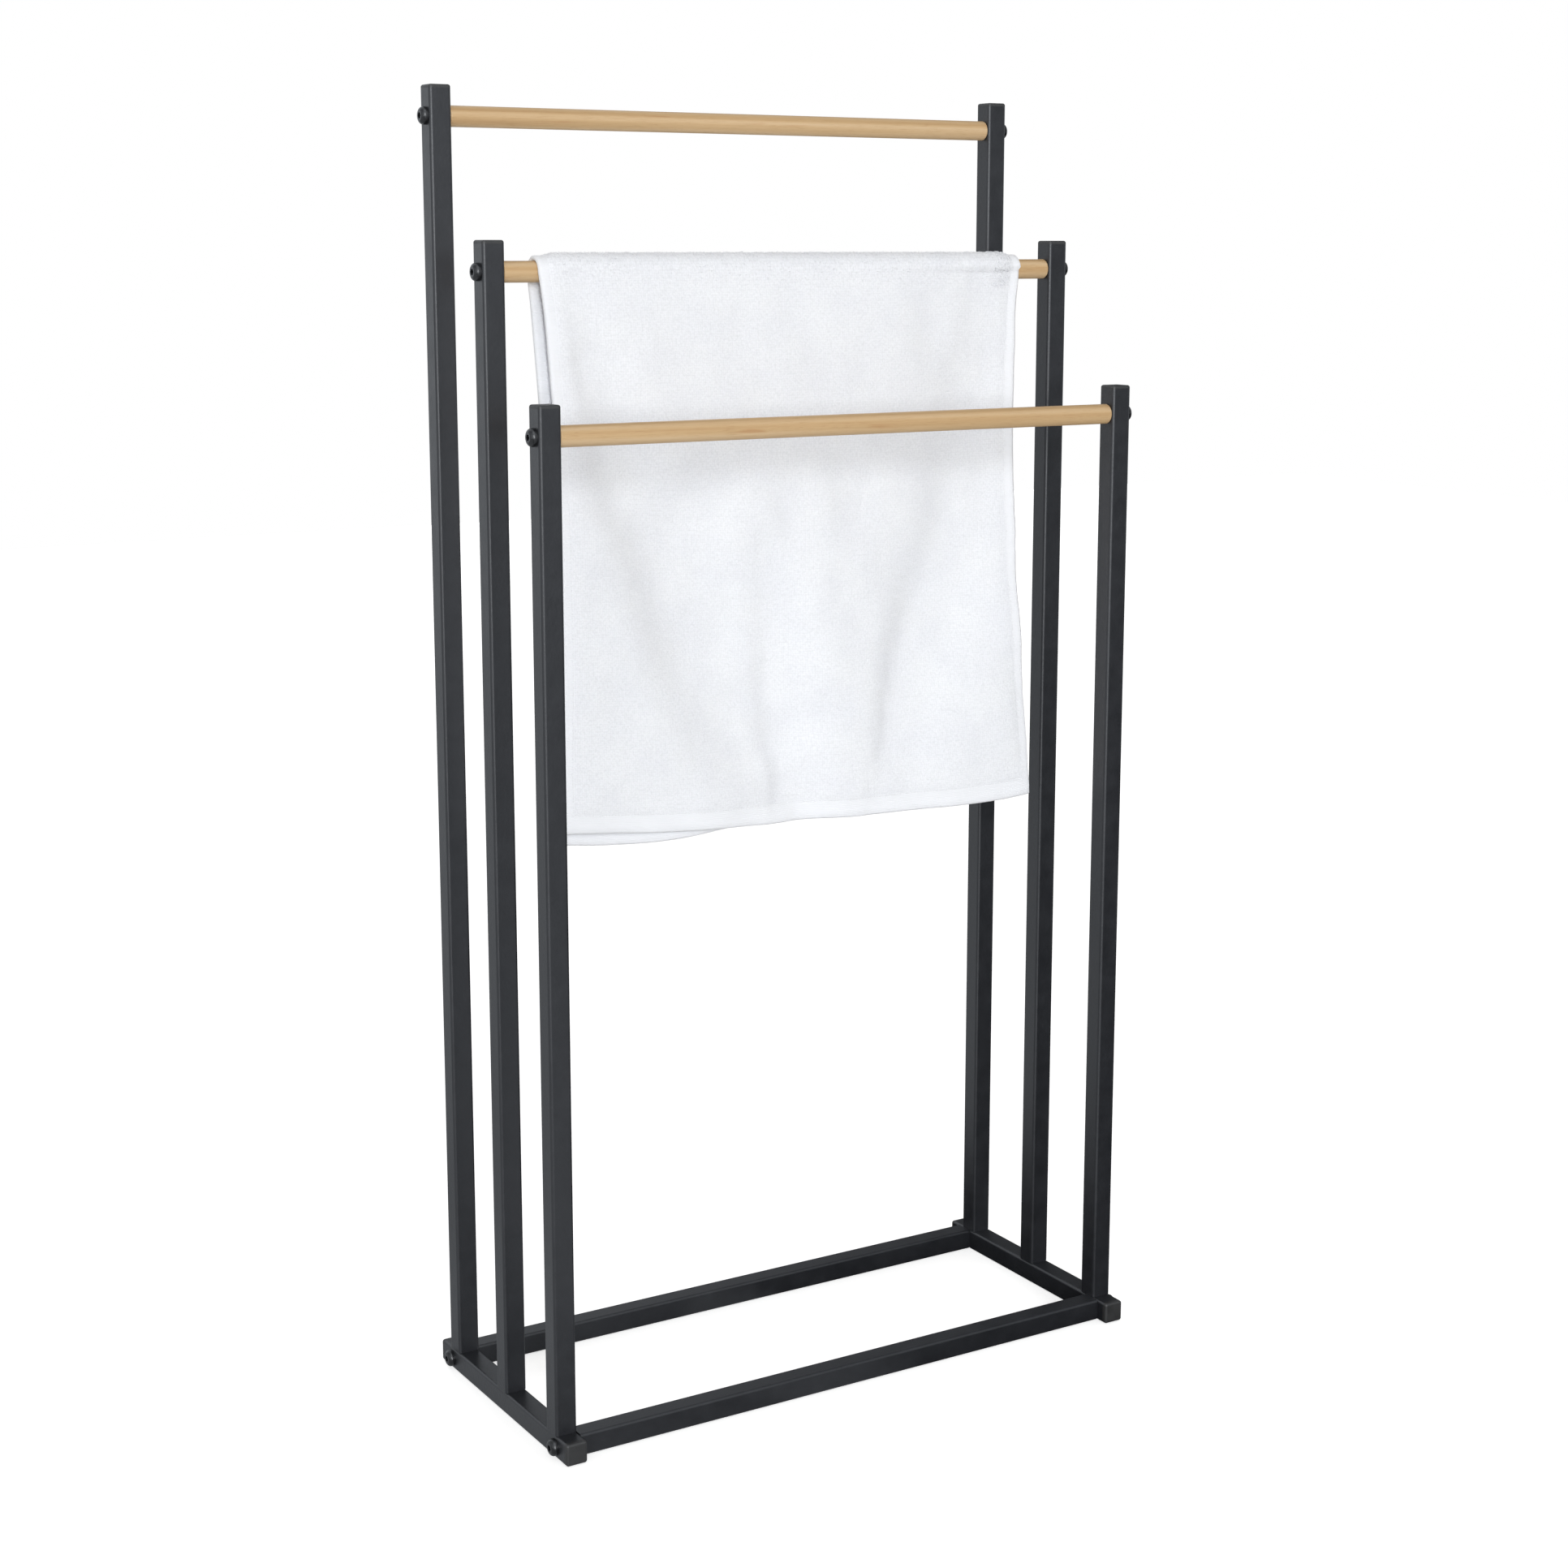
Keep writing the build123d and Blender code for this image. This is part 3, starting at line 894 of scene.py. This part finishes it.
def towel_sheet(grid, across, along):
    """The closed towel: both faces with their pile, and a rounded rim round all four edges."""
    normals = grid_normals(grid)
    half = cloth_thickness(across, along)[..., None] / 2
    side, end = border_share(across, along)
    nap = (side * end)[..., None] * NAP_HEIGHT
    outer = grid + normals * (half + nap * wander(across, along, NAP_WAVE, 31)[..., None])
    inner = grid - normals * (half + nap * wander(across, along, NAP_WAVE, 32)[..., None])
    rim, edge = rim_line(grid, half)
    points = np.concatenate([outer.reshape(-1, 3), inner.reshape(-1, 3), rim])
    place = np.stack([across.ravel(), along.ravel()], axis=1)
    uvs = np.concatenate([place, place, place[edge]])
    piece = mesh_object("terry_towel", points, faces=sheet_faces(*grid.shape[:2], edge), uvs=uvs)
    made = bmesh.new()
    made.from_mesh(piece.data)
    bmesh.ops.recalc_face_normals(made, faces=made.faces)
    made.to_mesh(piece.data)
    made.free()
    piece.data.shade_smooth()
    return piece, outer, inner


# ------------------------------------------------------------------ loops and seams
LOOP_SIZES = {"Density": 420000.0, "Loop_Size": 0.00085, "Thread_Radius": 0.00022, "Lean": 0.7}
STITCH_SIZES = {"Stitch_Length": 0.0032, "Thread_Radius": 0.00042}
BEAD_SHARE = 0.40        # half of a bead's length, as a share of its stitch
SEAM_INSET = 0.001       # from a border's inner line to its seam
SEAM_LIFT = 0.00002      # how far the seams' lines stand off the cloth

# Where the loops stand, in rows of the grid: how far past the turn over the bar, and over how
# many they thin out. Their share on the crown, and the tuft at its right corner.
CROWN_MARGIN = 4
CROWN_FADE = 5.0
CROWN_SHARE = 0.35
TUFT_X = 0.225
TUFT_WIDTH = 0.012
TUFT_SHARE = 1.3


def group_tree(name, sizes):
    """A Geometry Nodes tree with a mesh socket each way and named inputs for its sizes."""
    tree = bpy.data.node_groups.new(name, "GeometryNodeTree")
    tree.interface.new_socket("Base", in_out="INPUT", socket_type="NodeSocketGeometry")
    for label, kind, value in sizes:
        socket = tree.interface.new_socket(label, in_out="INPUT", socket_type=kind)
        if value is not None:
            socket.default_value = value
    tree.interface.new_socket("Made", in_out="OUTPUT", socket_type="NodeSocketGeometry")
    return tree, tree.nodes.new("NodeGroupInput").outputs, tree.nodes.new("NodeGroupOutput")


def give_result(tree, result, shape, finish):
    """End a tree with the shape that it made, in its finish."""
    done = add(tree, "GeometryNodeSetMaterial", Geometry=shape.outputs[0], Material=finish)
    tree.links.new(done.outputs[0], result.inputs[0])


def loop_tree():
    """Stray terry loops: thread arches, open at the foot, that stand on the cloth at random."""
    tree, given, result = group_tree("terry_loops", [
        ("Density", "NodeSocketFloat", 100000.0), ("Loop Size", "NodeSocketFloat", 0.0009),
        ("Thread Radius", "NodeSocketFloat", 0.0002), ("Lean", "NodeSocketFloat", 0.6),
        ("Seed", "NodeSocketInt", 5), ("Finish", "NodeSocketMaterial", None)])
    wanted = add(tree, "GeometryNodeInputNamedAttribute", {"data_type": "FLOAT"}, Name="fuzz")
    density = maths(tree, "MULTIPLY", wanted.outputs["Attribute"], given["Density"])
    spread = add(tree, "GeometryNodeDistributePointsOnFaces", Mesh=given["Base"],
                 Density=density, Seed=given["Seed"])
    arch = add(tree, "GeometryNodeCurveArc", Resolution=6, Radius=given["Loop Size"],
               Start__Angle=radians(-35), Sweep__Angle=radians(250))
    thread = add(tree, "GeometryNodeCurvePrimitiveCircle", Resolution=3,
                 Radius=given["Thread Radius"])
    loop = add(tree, "GeometryNodeCurveToMesh", Curve=arch.outputs[0],
               Profile__Curve=thread.outputs[0])
    upright = add(tree, "GeometryNodeTransform", Geometry=loop.outputs[0],
                  Rotation=(pi / 2, 0, 0))
    back = maths(tree, "MULTIPLY", given["Lean"], -1.0)
    least = add(tree, "ShaderNodeCombineXYZ", X=back, Y=back, Z=0.0)
    most = add(tree, "ShaderNodeCombineXYZ", X=given["Lean"], Y=given["Lean"], Z=2 * pi)
    turn = add(tree, "FunctionNodeRandomValue", {"data_type": "FLOAT_VECTOR"},
               Seed=given["Seed"], _0=least.outputs[0], _1=most.outputs[0])
    turned = add(tree, "FunctionNodeRotateRotation", {"rotation_space": "LOCAL"},
                 Rotation=spread.outputs["Rotation"], Rotate__By=turn.outputs[0])
    grow = add(tree, "FunctionNodeRandomValue", {"data_type": "FLOAT"}, Seed=given["Seed"],
               _2=0.6, _3=1.35)
    placed = add(tree, "GeometryNodeInstanceOnPoints", Points=spread.outputs["Points"],
                 Instance=upright.outputs[0], Rotation=turned.outputs[0],
                 Scale=grow.outputs[1])
    real = add(tree, "GeometryNodeRealizeInstances", Geometry=placed.outputs[0])
    give_result(tree, result, real, given["Finish"])
    return tree


def stitch_tree():
    """A lockstitch seam: short fat thread pieces laid end to end along the base's lines."""
    tree, given, result = group_tree("seam_stitches", [
        ("Stitch Length", "NodeSocketFloat", 0.003), ("Thread Radius", "NodeSocketFloat", 0.0003),
        ("Finish", "NodeSocketMaterial", None)])
    line = add(tree, "GeometryNodeMeshToCurve", Mesh=given["Base"])
    steps = add(tree, "GeometryNodeResampleCurve", {"mode": "LENGTH"}, Curve=line.outputs[0],
                Length=given["Stitch Length"])
    tangent = add(tree, "GeometryNodeInputTangent")
    laid = add(tree, "FunctionNodeAlignRotationToVector", {"axis": "Z"},
               Vector=tangent.outputs[0])
    half_bead = maths(tree, "MULTIPLY", given["Stitch Length"], BEAD_SHARE)
    size = add(tree, "ShaderNodeCombineXYZ", X=given["Thread Radius"], Y=given["Thread Radius"],
               Z=half_bead)
    bead = add(tree, "GeometryNodeMeshUVSphere", Segments=5, Rings=4, Radius=1.0)
    stitch = add(tree, "GeometryNodeTransform", Geometry=bead.outputs[0], Scale=size.outputs[0])
    placed = add(tree, "GeometryNodeInstanceOnPoints", Points=steps.outputs[0],
                 Instance=stitch.outputs[0], Rotation=laid.outputs[0])
    real = add(tree, "GeometryNodeRealizeInstances", Geometry=placed.outputs[0])
    smooth = add(tree, "GeometryNodeSetShadeSmooth", Geometry=real.outputs[0])
    give_result(tree, result, smooth, given["Finish"])
    return tree


def grown(base, tree, name, **sizes):
    """Run a tree on a base mesh and keep its result as a plain mesh piece."""
    modifier = base.modifiers.new("make", "NODES")
    modifier.node_group = tree
    sockets = {s.name: s.identifier for s in tree.interface.items_tree if s.in_out == "INPUT"}
    for label, value in sizes.items():
        modifier[sockets[label.replace("_", " ")]] = value
    base.update_tag()
    bpy.context.view_layer.update()
    evaluated = base.evaluated_get(bpy.context.evaluated_depsgraph_get())
    mesh = bpy.data.meshes.new_from_object(evaluated)
    mesh.name = name
    bpy.data.objects.remove(base)
    piece = bpy.data.objects.new(name, mesh)
    bpy.context.scene.collection.objects.link(piece)
    return piece


def crown_loops(outer, across, along, finish):
    """Loops on the pile where the towel turns over the bar, thickest at its right corner."""
    crown = slice(FRONT_ROWS - CROWN_MARGIN, FRONT_ROWS + OVER_ROWS + CROWN_MARGIN + 1)
    part = outer[:, crown]
    columns, rows = part.shape[:2]
    faces = turned_over(grid_faces(columns, rows)).tolist()
    base = mesh_object("crown_base", part.reshape(-1, 3), faces=faces)
    on_pile = border_share(across, along)[0][:, crown]
    from_end = np.minimum(np.arange(rows), np.arange(rows)[::-1])
    fade = np.clip(from_end / CROWN_FADE, 0, 1)
    fuzz = (on_pile * fade[None, :]).ravel() * CROWN_SHARE
    tuft = TUFT_SHARE * bell(part[:, :, 0].ravel() - TUFT_X, TUFT_WIDTH)
    fuzz += tuft * (on_pile.ravel() > 0.5)
    attribute = base.data.attributes.new("fuzz", "FLOAT", "POINT")
    attribute.data.foreach_set("value", fuzz.astype(np.float32))
    return grown(base, loop_tree(), "terry_towel_loops", **LOOP_SIZES, Seed=7, Finish=finish)


def seam_lines(grid, outer, inner, finish):
    """The stitched seams of both hems and both selvedges, on both faces."""
    row = int(np.argmin(np.abs(FRONT_ALONG - HEM + SEAM_INSET)))
    column = int(np.argmin(np.abs(ACROSS - SELVEDGE + SEAM_INSET)))
    normals = grid_normals(grid)
    lines = []
    for face, sign in ((outer, 1.0), (inner, -1.0)):
        lifted = face + sign * normals * SEAM_LIFT
        lines += [lifted[column:-column, row], lifted[column:-column, -1 - row],
                  lifted[column, row:-row], lifted[-1 - column, row:-row]]
    edges = []
    start = 0
    for line in lines:
        edges += [(k, k + 1) for k in range(start, start + len(line) - 1)]
        start += len(line)
    base = mesh_object("seam_base", np.concatenate(lines), edges=edges)
    return grown(base, stitch_tree(), "terry_towel_seams", **STITCH_SIZES, Finish=finish)


# ------------------------------------------------------------------ the rack's finishes
coated_steel = powder_coat()
plastic = moulded_plastic()
blackened_steel = black_oxide()
zinc_plated = zinc_plate()
wood = oiled_wood()
terry = terry_cloth()
thread = sewing_thread()

# The finish of each frame node, by the last word of its name.
FINISHES = {
    "tube": coated_steel, "post": coated_steel, "rail": coated_steel, "cap": plastic,
    "bolt": blackened_steel, "insert": zinc_plated, "nut": zinc_plated, "bar": wood,
}

for node_name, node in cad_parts.items():
    if node_name != "draped_towel":
        for material_slot in node.material_slots:
            material_slot.material = FINISHES[node_name.rsplit("_", 1)[-1]]

# ------------------------------------------------------------------ the towel's pieces
grid, across, along = towel_grid()
grid = settled(grid)
towel, outer, inner = towel_sheet(grid, across, along)
towel.data.materials.append(terry)
loops = crown_loops(outer, across, along, thread)
seams = seam_lines(grid, outer, inner, thread)

for piece in (towel, loops, seams):
    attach(piece, "towel")
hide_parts("draped_towel")
